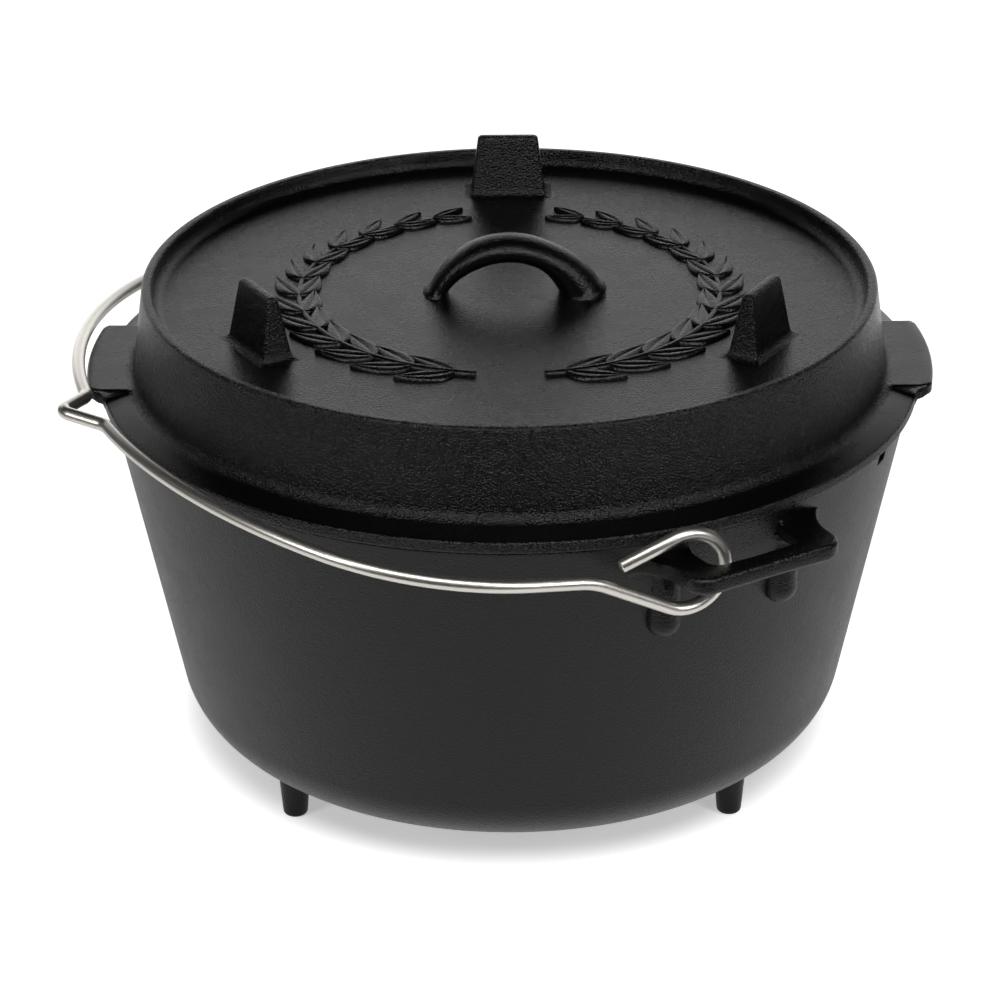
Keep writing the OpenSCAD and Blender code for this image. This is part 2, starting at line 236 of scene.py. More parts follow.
def add_piece(name, parts, body, node, finish):
    """One object from (rings, grain) parts, which rides on a body and may stand for a CAD node."""
    made = [skin(rings) for rings, grain in parts]
    starts = np.cumsum([0] + [len(points) for points, quads, fans in made])
    points = np.vstack([points for points, quads, fans in made])
    quads = np.vstack([quads + start for (p, quads, f), start in zip(made, starts)])
    fans = np.vstack([fans + start for (p, q, fans), start in zip(made, starts)])
    grain = np.concatenate([np.append(np.broadcast_to(grain, rings.shape[:2]), [np.mean(grain)] * 2)
                            for rings, grain in parts])
    mesh = bpy.data.meshes.new(name)
    mesh.vertices.add(len(points))
    mesh.vertices.foreach_set("co", (points * MM).ravel())
    corners = np.concatenate([quads.ravel(), fans.ravel()])
    mesh.loops.add(len(corners))
    mesh.loops.foreach_set("vertex_index", corners)
    sizes = np.concatenate([np.full(len(quads), 4), np.full(len(fans), 3)])
    mesh.polygons.add(len(sizes))
    mesh.polygons.foreach_set("loop_start", np.cumsum(sizes) - sizes)
    mesh.update(calc_edges=True)
    mesh.validate()
    mesh.shade_smooth()
    mesh.set_sharp_from_angle(angle=SHARP_ANGLE)
    mesh.attributes.new("grain", "FLOAT", "POINT").data.foreach_set("value", grain)
    mesh.materials.append(finish)
    piece = bpy.data.objects.new(name, mesh)
    bpy.context.collection.objects.link(piece)
    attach(piece, body)
    if node:
        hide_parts(node)
    print(name, "points", len(points), "triangles", 2 * len(quads) + len(fans))


# %% [markdown]
# ## Finishes
# A colour is written as the sRGB hex that one sees and turned to linear light once. Nodes are added by
# one small function, and every pattern's scale is worked out from its real size in millimetres.

# %% Colours and nodes


def linear(hex_colour):
    """Linear RGBA of an sRGB hex colour: c / 12.92 when dark, otherwise ((c + 0.055) / 1.055) ** 2.4."""
    srgb = np.array([int(hex_colour[k:k + 2], 16) for k in (1, 3, 5)]) / 255
    light = np.where(srgb <= 0.04045, srgb / 12.92, ((srgb + 0.055) / 1.055) ** 2.4)
    return (*light.tolist(), 1.0)


def per_mm(size):
    """Texture scale that makes a pattern repeat about every size millimetres, in coordinates of metres."""
    return 1 / (size * MM)


def add_node(owner, kind, inputs=None, **settings):
    """Add a node to a material or world: a socket given as an input is linked, other values are set."""
    node = owner.node_tree.nodes.new(kind)
    for name, value in settings.items():
        setattr(node, name, value)
    for key, value in (inputs or {}).items():
        if isinstance(value, bpy.types.NodeSocket):
            owner.node_tree.links.new(value, node.inputs[key])
        else:
            node.inputs[key].default_value = value
    return node


def new_finish(name):
    """An empty material with nodes."""
    finish = bpy.data.materials.new(name)
    finish.use_nodes = True
    finish.node_tree.nodes.clear()
    return finish


# %% [markdown]
# ### Seasoned sand-cast iron
# Grey iron poured into a sand mould and baked with oil: the iron itself hardly shows. The eye sees a
# black polymer film, satin like eggshell, over the fine orange-peel grain that the sand left. The film
# is a dielectric, so it is not set metallic, and its light comes from the gloss over a nearly black
# base.

# %% Make the iron
SAND_GRAIN = 0.7
SAND_DETAIL = 1.5
GRAIN_DEPTH = 0.62
OIL_PATCH = 16.0
OIL_DETAIL = 3.0
NOISE_MIDDLE = (0.3, 0.7)
FILM_ROUGHNESS = (0.24, 0.3)
FILM_IOR = 1.45
FILM_GLOSS = 0.42

iron = new_finish("seasoned sand-cast iron")
iron_place = add_node(iron, "ShaderNodeTexCoord").outputs["Object"]
iron_grain = add_node(iron, "ShaderNodeAttribute", attribute_name="grain").outputs["Fac"]
sand = add_node(iron, "ShaderNodeTexNoise", {
    "Vector": iron_place, "Scale": per_mm(SAND_GRAIN), "Detail": SAND_DETAIL})
patches = add_node(iron, "ShaderNodeTexNoise", {
    "Vector": iron_place, "Scale": per_mm(OIL_PATCH), "Detail": OIL_DETAIL})
# Bare high spots of the grain are a touch browner and lighter than the film between them.
tone = add_node(iron, "ShaderNodeMix", {
    "Factor": sand.outputs["Fac"], "A": linear("#030303"), "B": linear("#080707")}, data_type="RGBA")
film = add_node(iron, "ShaderNodeMapRange", {
    "Value": patches.outputs["Fac"], "From Min": NOISE_MIDDLE[0], "From Max": NOISE_MIDDLE[1],
    "To Min": FILM_ROUGHNESS[0], "To Max": FILM_ROUGHNESS[1]})
relief = add_node(iron, "ShaderNodeBump", {
    "Strength": iron_grain, "Distance": GRAIN_DEPTH * MM, "Height": sand.outputs["Fac"]})
iron_shader = add_node(iron, "ShaderNodeBsdfPrincipled", {
    "Base Color": tone.outputs["Result"], "Roughness": film.outputs["Result"],
    "Normal": relief.outputs["Normal"], "IOR": FILM_IOR, "Specular IOR Level": FILM_GLOSS})
add_node(iron, "ShaderNodeOutputMaterial", {"Surface": iron_shader.outputs["BSDF"]})
print("finish:", iron.name)

# %% [markdown]
# ### Bright drawn stainless wire
# The bail is drawn through a die and left bright. It shows the studio in long bands that the fine
# drawing marks blur, so it is a metal with a middling roughness that wavers a little. The real marks
# are finer than the render can show, so they are drawn coarser here.

# %% Make the steel
DRAW_MARK = 0.7
DRAW_DETAIL = 2.0
WIRE_ROUGHNESS = (0.3, 0.38)

steel = new_finish("bright drawn stainless steel")
steel_place = add_node(steel, "ShaderNodeTexCoord").outputs["Object"]
marks = add_node(steel, "ShaderNodeTexNoise", {
    "Vector": steel_place, "Scale": per_mm(DRAW_MARK), "Detail": DRAW_DETAIL})
polish = add_node(steel, "ShaderNodeMapRange", {
    "Value": marks.outputs["Fac"], "From Min": NOISE_MIDDLE[0], "From Max": NOISE_MIDDLE[1],
    "To Min": WIRE_ROUGHNESS[0], "To Max": WIRE_ROUGHNESS[1]})
steel_shader = add_node(steel, "ShaderNodeBsdfPrincipled", {
    "Base Color": linear("#eae6df"), "Metallic": 1.0, "Roughness": polish.outputs["Result"]})
add_node(steel, "ShaderNodeOutputMaterial", {"Surface": steel_shader.outputs["BSDF"]})
print("finish:", steel.name)

# %% [markdown]
# ## The pot's body
# The body is a turned shape: one profile runs from the middle of the underside, up the drafted wall,
# over the rim and down inside to the middle of the floor. The thermometer notch is made in the same
# rings: where the angle falls inside it, the top of the wall is pressed down, along the draft.

# %% Turn the pot
POT_DRAFT = np.radians(11.2)
UNDERSIDE_Z = 27.6
FLOOR_Z = 32.6
WALL_T = 4.5
WALL_SLANT = WALL_T / np.cos(POT_DRAFT)
BASE_R = RIM_R - (RIM_Z - UNDERSIDE_Z) * np.tan(POT_DRAFT)
FLOOR_R = RIM_R - WALL_SLANT - (RIM_Z - FLOOR_Z) * np.tan(POT_DRAFT)
BASE_CORNER = 27.5
FLOOR_CORNER = 23.0
RIM_EDGE = 1.3
POT_STEP = 7.0
TURN_STEP = 1.5
AXIS_R = 0.3
NOTCH_ANGLE = -26.0
NOTCH_HALF_W = 3.5
NOTCH_AT_R = 150.0
NOTCH_HALF = np.degrees(NOTCH_HALF_W / NOTCH_AT_R)
NOTCH_DEPTH = 7.0
NOTCH_REACH = 14.0
NOTCH_WALL = 0.06


def pot_wall_r(z):
    """Radius of the pot's outside at a height: the rim's radius less the draft over the drop."""
    return RIM_R - (RIM_Z - z) * np.tan(POT_DRAFT)


def pressed_notch(rings, angles):
    """Rings with the notch: inside it, heights over the top reach shrink linearly so that the rim drops."""
    inside = angle_apart(angles, NOTCH_ANGLE) < NOTCH_HALF
    over_reach = np.clip(rings[..., 2] - RIM_Z + NOTCH_REACH, 0, None)
    drop = np.where(inside, over_reach * NOTCH_DEPTH / NOTCH_REACH, 0)
    scale = 1 - drop * np.tan(POT_DRAFT) / np.hypot(rings[..., 0], rings[..., 1])
    return rings * np.stack([scale, scale, 1 + 0 * scale], -1) - np.stack([0 * drop, 0 * drop, drop], -1)


pot_profile = rounded_profile(
    [(AXIS_R, UNDERSIDE_Z), (BASE_R, UNDERSIDE_Z), (RIM_R, RIM_Z), (RIM_R - WALL_SLANT, RIM_Z),
     (FLOOR_R, FLOOR_Z), (AXIS_R, FLOOR_Z)],
    [BASE_CORNER, RIM_EDGE, RIM_EDGE, FLOOR_CORNER], POT_STEP)
notch_edges = np.array([-1, 1, -1, 1]) * (NOTCH_HALF + NOTCH_WALL * np.array([-1, -1, 1, 1]))
pot_angles = np.unique(np.concatenate([np.arange(-180, 180, TURN_STEP), NOTCH_ANGLE + notch_edges]))
pot_rings = pressed_notch(revolve(pot_profile, np.radians(pot_angles)), pot_angles)
print("pot profile points", len(pot_profile), "round", len(pot_angles))

# %% [markdown]
# ## The pot's feet
# Three round pegs cast under the corner of the pot. Each is a turned taper with a softened tip, and
# flares into the underside with a small fillet, as a pattern maker would leave it.

# %% Turn the feet
FOOT_ANGLES = (-150.0, -30.0, 90.0)
FOOT_CIRCLE_R = 98.1
FOOT_SIDES = 30
FOOT_TIP_R = 4.7
FOOT_GROWTH = 2.3
FOOT_TIP_ROUND = 1.6
FOOT_SHANK = (2.5, 23.0)
FOOT_FLARE = 4.0
FOOT_FLARE_FROM = 23.5
FOOT_SUNK = 2.0
FOOT_TIP_POINTS = 8
FOOT_SHANK_POINTS = 10
FOOT_FLARE_POINTS = 9


def pot_foot():
    """Rings of one foot: its radius grows evenly from tip to root, with a round tip and a flared root."""
    tip = FOOT_TIP_ROUND - FOOT_TIP_ROUND * np.cos(np.linspace(0, np.pi / 2, FOOT_TIP_POINTS))
    shank = np.linspace(*FOOT_SHANK, FOOT_SHANK_POINTS)
    root = np.linspace(FOOT_FLARE_FROM, UNDERSIDE_Z, FOOT_FLARE_POINTS)
    z = np.concatenate([tip, shank, root, [UNDERSIDE_Z + FOOT_SUNK]])
    flare = fillet(UNDERSIDE_Z - z, FOOT_FLARE) * (z <= UNDERSIDE_Z)
    r = FOOT_TIP_R + FOOT_GROWTH * z / UNDERSIDE_Z - fillet(z, FOOT_TIP_ROUND) + flare
    rings = revolve(np.stack([r, z], -1), np.linspace(0, 2 * np.pi, FOOT_SIDES, endpoint=False))
    return rings + [FOOT_CIRCLE_R, 0, 0]


pot_feet = [turned_about(pot_foot(), angle) for angle in FOOT_ANGLES]
print("pot feet", len(pot_feet))

# %% [markdown]
# ## The ears
# Each ear is a flat loop with a slot for the bail. Its outer edge swoops out of the wall, turns a round
# corner and runs along a bar; its inner edge is the slot. A rounded section is carried along both edges
# at once, so the ear is one loft whose ends lie inside the wall.

# %% Loft the ears
EAR_ANGLES = (-58.5, 121.5)
EAR_OUT = 174.5
BAR_IN = 166.0
EAR_HALF = 31.5
SLOT_HALF = 19.0
EAR_BLEND = 26.0
EAR_CORNER = 7.0
SLOT_CORNER = 5.0
EAR_MID_Z = 156.35
EAR_HALF_T = 3.25
EAR_EDGE = 1.9
EAR_FILLET = 3.0
EAR_FILLET_FROM = 1.8
EAR_FILLET_SHARE = 0.5
WALL_IN_EAR = 149.2
EAR_STEP = 2.0
ARM_POINTS = 24
BAR_POINTS = 22


def resampled(path, count):
    """Points spaced evenly by length along a path."""
    run = np.concatenate([[0], np.cumsum(np.linalg.norm(np.diff(path, axis=0), axis=1))])
    even = np.linspace(0, run[-1], count)
    return np.stack([np.interp(even, run, column) for column in path.T], -1)


def split_at_x(path, limit):
    """A path cut in two at the first point whose x passes a limit."""
    cut = int(np.argmax(path[:, 0] >= limit))
    return path[:cut + 1], path[cut:]


def ear_edges():
    """Matched points on the ear's outer edge and the slot's edge, from one end in the wall to the other.

    The blend is a circle that touches the wall and the arm's side, so the sine of the angle to its
    middle is (half width + blend radius) / (wall radius + blend radius).
    """
    slope = np.arcsin((EAR_HALF + EAR_BLEND) / (WALL_IN_EAR + EAR_BLEND))
    along = np.array([np.sin(slope), np.cos(slope)])
    root = WALL_IN_EAR * np.array([np.cos(slope), -np.sin(slope)])
    bend = root + along * (root[1] + EAR_HALF) / -along[1]
    outer = rounded_profile([root - along, bend, (EAR_OUT, -EAR_HALF), (EAR_OUT, 0)],
                            [EAR_BLEND, EAR_CORNER], EAR_STEP)
    slot_root = np.sqrt(WALL_IN_EAR ** 2 - SLOT_HALF ** 2)
    inner = rounded_profile([(slot_root, -SLOT_HALF), (BAR_IN, -SLOT_HALF), (BAR_IN, 0)],
                            [SLOT_CORNER], EAR_STEP)
    outer_arm, outer_bar = split_at_x(outer, EAR_OUT - EAR_CORNER)
    inner_arm, inner_bar = split_at_x(inner, BAR_IN - SLOT_CORNER)
    halves = [np.vstack([resampled(arm, ARM_POINTS)[:-1], resampled(bar, BAR_POINTS)])
              for arm, bar in ((outer_arm, outer_bar), (inner_arm, inner_bar))]
    return [np.vstack([half, (half * [1, -1])[-2::-1]]) for half in halves]


def ear_rings():
    """A rounded rectangle carried between the two edges, thickened by a fillet where it nears the wall."""
    outer, inner = ear_edges()
    middle = (outer + inner) / 2
    across = outer - inner
    width = np.linalg.norm(across, axis=1)
    out_of_wall = np.hypot(*middle.T) - WALL_IN_EAR - EAR_FILLET_FROM
    half_t = EAR_HALF_T + fillet(np.clip(out_of_wall, 0, None), EAR_FILLET) * EAR_FILLET_SHARE
    # A square of half side 2 with corners of radius 1 gives each point's side and its place on the arc.
    ring = rounded_rectangle(2, 2, 1)
    side = np.sign(ring)
    inwards = np.abs(ring) - 2
    u = side[:, 0] * (width[:, None] / 2 + EAR_EDGE * inwards[:, 0])
    v = side[:, 1] * (half_t[:, None] + EAR_EDGE * inwards[:, 1])
    flat = middle[:, None] + u[..., None] * (across / width[:, None])[:, None]
    return np.concatenate([flat, EAR_MID_Z + v[..., None]], -1)


ears = [turned_about(ear_rings(), angle) for angle in EAR_ANGLES]
print("ears", len(ears), "rings each", len(ears[0]))

# %% [markdown]
# Under each arm of an ear a half-round rib runs down the wall and ends like a fingertip. It is a turned
# shape, and whatever would come out inside the pot is pushed back into the middle of the wall.

# %% Turn the ribs
RIB_R = 6.5
RIB_X = 144.01
RIB_Y = 25.25
RIB_LOW_Z = 130.6
RIB_TOP_Z = 155.0
RIB_FLARE = 3.0
RIB_POLE = 0.05
RIB_POLE_POINTS = 12
RIB_RUN_GAP = 1.0
RIB_RUN_POINTS = 22
RIB_SIDES = 36
RAW_HALF_A = 9.0
RAW_WALL_Z = (150.0, 154.0)
RAW_DEEP = 2.0
POT_GRAIN = 0.4
RAW_GRAIN = 1.0
CAST_ON_GRAIN = 0.5


def rib_rings(side):
    """A fingertip: a quarter circle from the low pole, then a straight run that flares under the ear."""
    pole = np.linspace(RIB_POLE, np.pi / 2, RIB_POLE_POINTS)
    run = np.linspace(RIB_LOW_Z + RIB_RUN_GAP, RIB_TOP_Z, RIB_RUN_POINTS)
    z = np.concatenate([RIB_LOW_Z - RIB_R * np.cos(pole), run])
    r = np.concatenate([RIB_R * np.sin(pole), np.full(RIB_RUN_POINTS, RIB_R)])
    r = r + fillet(EAR_MID_Z - EAR_HALF_T - z, RIB_FLARE) * (z > RIB_LOW_Z)
    rings = revolve(np.stack([r, z], -1), np.linspace(0, 2 * np.pi, RIB_SIDES, endpoint=False))
    rings = rings + [RIB_X, side * RIB_Y, 0]
    reach = np.hypot(rings[..., 0], rings[..., 1])
    push = np.maximum(reach, pot_wall_r(rings[..., 2]) - WALL_SLANT / 2) / reach
    return rings * np.stack([push, push, 1 + 0 * push], -1)


ribs = [turned_about(rib_rings(side), angle) for side in (-1, 1) for angle in EAR_ANGLES]
# The wall inside an ear's slot is left raw from the mould, so its grain is coarser than the rest.
ear_turn = np.min([angle_apart(pot_angles, angle) for angle in EAR_ANGLES], axis=0)
raw_wall = (ear_turn < RAW_HALF_A) * smooth_step(pot_rings[..., 2], *RAW_WALL_Z)
outside = np.hypot(pot_rings[..., 0], pot_rings[..., 1]) > WALL_IN_EAR - RAW_DEEP
pot_grain = POT_GRAIN + (RAW_GRAIN - POT_GRAIN) * raw_wall * outside
pot_parts = [(pot_rings, pot_grain)] + [(rings, CAST_ON_GRAIN) for rings in pot_feet + ribs + ears]
add_piece("pot_casting", pot_parts, "pot", "pot", iron)

# %% [markdown]
# ## The lid
# One profile again: across the plate, up the tray's fillet, over the rim, down the skirt, out along the
# flange, under it to the locating lip, and up inside. Two lugs grow out of the flange at the sides.
# They are a swelling of the same rings, so that they run into the flange as in a casting.

# %% Turn the lid
SEAT_GAP = 0.2
FLANGE_R = 156.0
FLANGE_T = 4.4
FLANGE_RISE = 2.8
FLANGE_Z = RIM_Z + SEAT_GAP
FLANGE_TOP = FLANGE_Z + FLANGE_T
SKIRT_R = 143.9
SKIRT_Z = FLANGE_TOP + FLANGE_RISE
SKIRT_FOOT = 1.0
LID_TOP = 207.1
SKIRT_TOP_R = 139.265
TRAY_R = 135.665
TRAY_FOOT_R = 134.736
HOLLOW_Z = 195.8
HOLLOW_R = 136.189
HOLLOW_MOUTH_R = 140.671
LIP_TOP_R = 147.713
LIP_LOW_R = 147.119
LUG_REACH = 5.5
LUG_RISE = 3.2
LUG_TOP = FLANGE_TOP + LUG_RISE
LUG_LIFT = 3.1
LUG_HALF_W = 32.0
LUG_CORNER = 4.5
LUG_FILLET = 4.5
LUG_BLEND = 1.67
LUG_STEP = (30.4, 34.0)
LUG_SIDE = (26.0, 38.0)
LUG_SIDE_STEP = 0.5
PARALLEL_TO = (20.0, 34.0)
TRAY_FILLET = 4.0
TRAY_EDGE = 1.2
SKIRT_EDGE = 1.5
SKIRT_FILLET = 5.0
FLANGE_EDGE = 1.1
LIP_ROOT = 0.6
LIP_EDGE = 0.9
MOUTH_EDGE = 1.0
HOLLOW_FILLET = 10.0
LID_STEP = 3.5

lid_profile = rounded_profile(
    [(AXIS_R, PLATE_Z), (TRAY_FOOT_R, PLATE_Z), (TRAY_R, LID_TOP), (SKIRT_TOP_R, LID_TOP),
     (SKIRT_R, SKIRT_Z), (FLANGE_R, FLANGE_TOP), (FLANGE_R, FLANGE_Z), (LIP_TOP_R, FLANGE_Z),
     (LIP_LOW_R, LIP_Z), (HOLLOW_MOUTH_R, LIP_Z), (HOLLOW_R, HOLLOW_Z), (AXIS_R, HOLLOW_Z)],
    [TRAY_FILLET, TRAY_EDGE, SKIRT_EDGE, SKIRT_FILLET, FLANGE_EDGE, FLANGE_EDGE, LIP_ROOT, LIP_EDGE,
     MOUTH_EDGE, HOLLOW_FILLET], LID_STEP)
lug_sides = np.concatenate([np.arange(*LUG_SIDE, LUG_SIDE_STEP), LUG_STEP])
lug_columns = np.degrees(np.arcsin(lug_sides / SKIRT_R))
lug_window = np.concatenate([lug_columns, -lug_columns])
lid_angles = np.unique(np.concatenate([np.arange(-180, 180, TURN_STEP), lug_window,
                                       (lug_window + 360) % 360 - 180]))


def lug_reach(beside):
    """Reach of a lug beside its middle: full, then a quarter circle, then a fillet to the flange."""
    turned = np.clip(beside - LUG_HALF_W + LUG_CORNER, 0, LUG_CORNER)
    corner = LUG_REACH - LUG_CORNER + np.sqrt(LUG_CORNER ** 2 - turned ** 2)
    return np.where(beside < LUG_HALF_W, corner, fillet(beside - LUG_HALF_W + LUG_BLEND, LUG_FILLET))


def with_lugs(profile, angles):
    """Rings of the lid with its lugs, whose sides run parallel to x.

    Beyond the skirt's foot the points near a lug keep the y that they have there. The flange's edge moves
    out and up into the lug, its top rises to the lug's, and one point under it turns the corner below.
    """
    from_lug = np.abs((angles + 90) % 180 - 90)
    beside = SKIRT_R * np.sin(np.radians(from_lug))
    rise = 1 - smooth_step(beside, *LUG_STEP)
    r = profile[:, :1] + 0 * angles
    z = profile[:, 1:] + 0 * angles
    flange = (r > SKIRT_R) & (z < SKIRT_Z + SKIRT_FOOT) & (z > FLANGE_Z - NEAR)
    edge = flange & (r > FLANGE_R - FLANGE_EDGE - NEAR)
    under = flange & ~edge & (z < FLANGE_Z + NEAR)
    turn = under & (np.cumsum(under, axis=0) == 1)
    top = flange & ~edge & ~under
    share = np.clip((r - SKIRT_R) / (FLANGE_R - SKIRT_R), 0, 1)
    far = r + lug_reach(beside) * np.where(edge, 1, share * top)
    far = np.where(turn, r + (FLANGE_R - r) * rise, far)
    high = z + rise * np.where(edge | turn, LUG_LIFT, np.clip(LUG_TOP - z, 0, None) * top)
    spread = np.radians(angles)
    sideways = np.sin(spread)
    keep = (1 - smooth_step(from_lug, *PARALLEL_TO)) * (far > SKIRT_R)
    y = sideways * (far + (SKIRT_R - far) * keep)
    x = np.sqrt(np.clip(far ** 2 - y ** 2, 0, None)) * np.sign(np.cos(spread))
    return np.stack([x, y, high], -1)


lid_rings = with_lugs(lid_profile, lid_angles)

# %% Spread the lid's grain
# The plate and the flange's top are smoother, and the skirt keeps the full grain of the sand.
PLATE_GRAIN = 0.35
SKIRT_GRAIN = 1.0
FLANGE_GRAIN = 0.2
TRAY_BAND = (TRAY_FOOT_R - 3.0, TRAY_FOOT_R + 1.0)
FLANGE_BAND = (SKIRT_R + 2.0, SKIRT_R + 4.0)

lid_radius = np.hypot(lid_rings[..., 0], lid_rings[..., 1])
flange_top = smooth_step(lid_radius, *FLANGE_BAND) * (lid_rings[..., 2] > FLANGE_TOP)
lid_grain = PLATE_GRAIN + (SKIRT_GRAIN - PLATE_GRAIN) * smooth_step(lid_radius, *TRAY_BAND)
lid_grain -= (SKIRT_GRAIN - FLANGE_GRAIN) * flange_top
print("lid profile points", len(lid_profile), "round", len(lid_angles))

# %% [markdown]
# ## The lid's feet
# With the lid turned over these three blocks are its legs, so that it serves as a griddle. Each tapers
# both ways, with crisp edges and a softened top, and stands on the plate with a small fillet.

# %% Stack the lid's feet
LID_FOOT_CIRCLE_R = 106.0
LID_FOOT_ROOT = (12.0, 30.0)
LID_FOOT_TIP = (4.0, 24.0)
LID_FOOT_EDGE = 1.2
LID_FOOT_ROUND = 1.5
LID_FOOT_FILLET = 2.5
LID_FOOT_SHANK = 3.5
LID_FOOT_SUNK = 1.0
LID_FOOT_CREST = 0.15
LID_FOOT_END_POINTS = 8
LID_FOOT_SHANK_POINTS = 14


def lid_foot():
    """Rounded rectangles that shrink from root to top; the fillet and the round top come from circles."""
    height = LID_FOOT_TOP - PLATE_Z
    crest = np.linspace(LID_FOOT_CREST, np.pi / 2, LID_FOOT_END_POINTS)
    h = np.concatenate([[-LID_FOOT_SUNK], np.linspace(0, LID_FOOT_FILLET, LID_FOOT_END_POINTS),
                        np.linspace(LID_FOOT_SHANK, height - LID_FOOT_ROUND, LID_FOOT_SHANK_POINTS),
                        height - LID_FOOT_ROUND * (1 - np.sin(crest))])
    share = h / height
    root_fillet = fillet(np.clip(h, 0, None), LID_FOOT_FILLET)
    grow = root_fillet - fillet(np.clip(height - h, 0, None), LID_FOOT_ROUND)
    half_x = 0.5 * (LID_FOOT_ROOT[0] + (LID_FOOT_TIP[0] - LID_FOOT_ROOT[0]) * share) + grow
    half_y = 0.5 * (LID_FOOT_ROOT[1] + (LID_FOOT_TIP[1] - LID_FOOT_ROOT[1]) * share) + grow
    flat = np.array([rounded_rectangle(x, y, min(LID_FOOT_EDGE, x)) for x, y in zip(half_x, half_y)])
    z = np.broadcast_to((PLATE_Z + h)[:, None, None], (*flat.shape[:2], 1))
    return np.concatenate([flat, z], -1) + [LID_FOOT_CIRCLE_R, 0, 0]


lid_feet = [turned_about(lid_foot(), angle) for angle in FOOT_ANGLES]
lid_parts = [(lid_rings, lid_grain)] + [(rings, SKIRT_GRAIN) for rings in lid_feet]
add_piece("lid_casting", lid_parts, "lid", "lid", iron)

# %% [markdown]
# ## The lid's handle
# A short arch for a lifting hook. A rounded section is carried along a circular arc. The left leg thins
# towards its root and the right one thickens, and both spread onto the plate in a small fillet.

# %% Sweep the handle
HANDLE_R = 30.143
HANDLE_HALF_T = 5.2
HANDLE_HALF_W = 8.5
HANDLE_POWER = 1.95
HANDLE_SIDES = 40
HANDLE_RINGS = 90
HANDLE_SUNK = 2.0
HANDLE_FILLET = 2.5
HANDLE_FILLET_SHARE = 0.6
HANDLE_SWELL = (0.35, 1.15)
HANDLE_FLARE = (-1.6, 2.6)
HANDLE_SPLAY = (-1.5, 0.5)


def handle_rings():
    """An oval |u/a|^n + |v/b|^n = 1 carried along an arc; a and b grow near the plate as a fillet does."""
    middle_z = HANDLE_TOP - HANDLE_HALF_T - HANDLE_R
    end = np.arccos((PLATE_Z - HANDLE_SUNK - middle_z) / HANDLE_R)
    turn = np.linspace(-end, end, HANDLE_RINGS)[:, None]
    above = np.clip(middle_z + HANDLE_R * np.cos(turn) - PLATE_Z, 0, None)
    swell = smooth_step(np.abs(turn), *HANDLE_SWELL)
    foot = fillet(above, HANDLE_FILLET) * HANDLE_FILLET_SHARE
    a = HANDLE_HALF_T + np.where(turn < 0, *HANDLE_FLARE) * swell + foot
    b = HANDLE_HALF_W + np.where(turn < 0, *HANDLE_SPLAY) * swell + foot
    angle = np.linspace(0, 2 * np.pi, HANDLE_SIDES, endpoint=False)
    u = a * np.sign(np.cos(angle)) * np.abs(np.cos(angle)) ** (2 / HANDLE_POWER)
    v = b * np.sign(np.sin(angle)) * np.abs(np.sin(angle)) ** (2 / HANDLE_POWER)
    return np.stack([(HANDLE_R + u) * np.sin(turn), v, middle_z + (HANDLE_R + u) * np.cos(turn)], -1)


add_piece("lid_handle_arch", [(handle_rings(), CAST_ON_GRAIN)], "lid", "lid_handle", iron)

# %% [markdown]
# ## Relief on the plate
# The plate carries a low cast relief, a plain wreath of two leafy sprays. Each leaf is a small domed
# skin with a sunk midrib, and the stem is a half-buried round bar along an arc.

# %% Lay out the wreath
SPRAY_R = 80.0
SPRAY_ENDS = (14.0, 158.0)
LEAF_PAIRS = 13
LEAF_LENGTH = 23.0
LEAF_HALF_W = 4.6
LEAF_SPLAY = 34.0
LEAF_BEND = 0.12
LEAF_POINTS = 16
LEAF_POWER = 0.8
LEAF_SHORTEN = 0.12
TIP_SHRINK = 0.35
# Each level is a share of the leaf's outline and a height, from the buried foot over to the midrib.
LEAF_LEVELS = np.array([(1.05, -0.6), (1.0, 0.25), (0.93, 0.85), (0.72, 1.3), (0.45, 1.45), (0.18, 1.25),
                        (0.03, 0.9)])
STEM_HALF = (1.7, 0.7)
STEM_OVER = (5.0, 3.0)
STEM_LIFT = 0.1
STEM_RINGS = 90
STEM_SIDES = 14
WREATH_GRAIN = 0.4


def leaf(length, half_w, bend):
    """Rings of one leaf: an outline sin(pi s^0.8) wide at length s, drawn in to the midrib in levels."""
    s = 0.5 - 0.5 * np.cos(np.linspace(0, np.pi, LEAF_POINTS))
    wide = half_w * np.sin(np.pi * s ** LEAF_POWER)
    x = np.concatenate([s, s[-2:0:-1]]) * length
    y = np.concatenate([wide, -wide[-2:0:-1]])
    draw_in = LEAF_LEVELS[:, :1]
    height = LEAF_LEVELS[:, 1:]
    inset_x = length / 2 + (x - length / 2) * (1 - LEAF_SHORTEN + LEAF_SHORTEN * draw_in)
    curve = bend * (inset_x / length) ** 2
    return np.stack([inset_x, y * draw_in + curve, height + 0 * x], -1)


def on_spray(points, angle, lean, side):
    """Points set down on the spray's arc at an angle, leaning off its tangent, on the left or the right."""
    tangent = angle + 90 * side
    turned = turned_about(points, tangent + lean)
    a = np.radians(angle)
    return turned + [SPRAY_R * np.cos(a), SPRAY_R * np.sin(a), PLATE_Z]


def stem(side):
    """Rings of a thin bar along the spray's arc, tapering to its tip."""
    along = np.linspace(SPRAY_ENDS[0] - STEM_OVER[0], SPRAY_ENDS[1] + STEM_OVER[1], STEM_RINGS)
    a = np.radians(-90 + side * along)[:, None]
    half = np.linspace(*STEM_HALF, STEM_RINGS)[:, None]
    ring = np.linspace(0, 2 * np.pi, STEM_SIDES, endpoint=False)
    r = SPRAY_R + half * np.cos(ring)
    return np.stack([r * np.cos(a), r * np.sin(a), PLATE_Z + STEM_LIFT + half * np.sin(ring)], -1)


